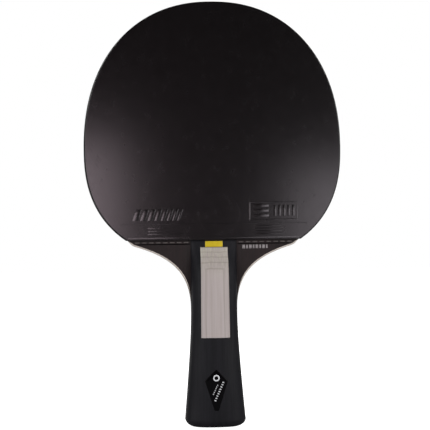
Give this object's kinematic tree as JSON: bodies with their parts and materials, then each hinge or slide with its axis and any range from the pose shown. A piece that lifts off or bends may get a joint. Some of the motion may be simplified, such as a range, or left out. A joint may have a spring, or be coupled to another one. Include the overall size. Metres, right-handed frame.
{
  "type": "table tennis paddle",
  "caption": "Wooden table tennis paddle with a rounded head, black and red inverted rubbers, black edge tape and a flared handle with a grey inlay.",
  "frame": {"origin": "middle of the grip, on the middle plane of the blade", "axes": "+Z along the handle towards the head, X across the blade, -Y out of the black rubber, +Y out of the red rubber"},
  "size_m": [0.1512, 0.0244, 0.25],
  "materials": {
    "core_wood": "sanded",
    "cross_wood": "sanded",
    "stained_wood": "stained and sealed",
    "sponge": "matt foam",
    "black_rubber": "smooth satin",
    "red_rubber": "smooth satin",
    "edge_tape": "woven tape",
    "handle_wood": "stained satin",
    "inlay_wood": "fine grained satin",
    "accent_yellow": "satin",
    "badge_black": "gloss"
  },
  "bodies": {
    "root": {"core_ply": "core_wood", "front_cross_ply": "cross_wood", "back_cross_ply": "cross_wood", "front_face_ply": "stained_wood", "back_face_ply": "stained_wood", "front_sponge": "sponge", "back_sponge": "sponge", "front_topsheet": "black_rubber", "back_topsheet": "red_rubber", "edge_tape": "edge_tape", "front_scale": "handle_wood", "back_scale": "handle_wood", "front_inlay": "inlay_wood", "back_inlay": "inlay_wood", "front_accent": "accent_yellow", "back_accent": "accent_yellow", "front_badge": "badge_black", "back_badge": "badge_black"}
  },
  "joints": []
}
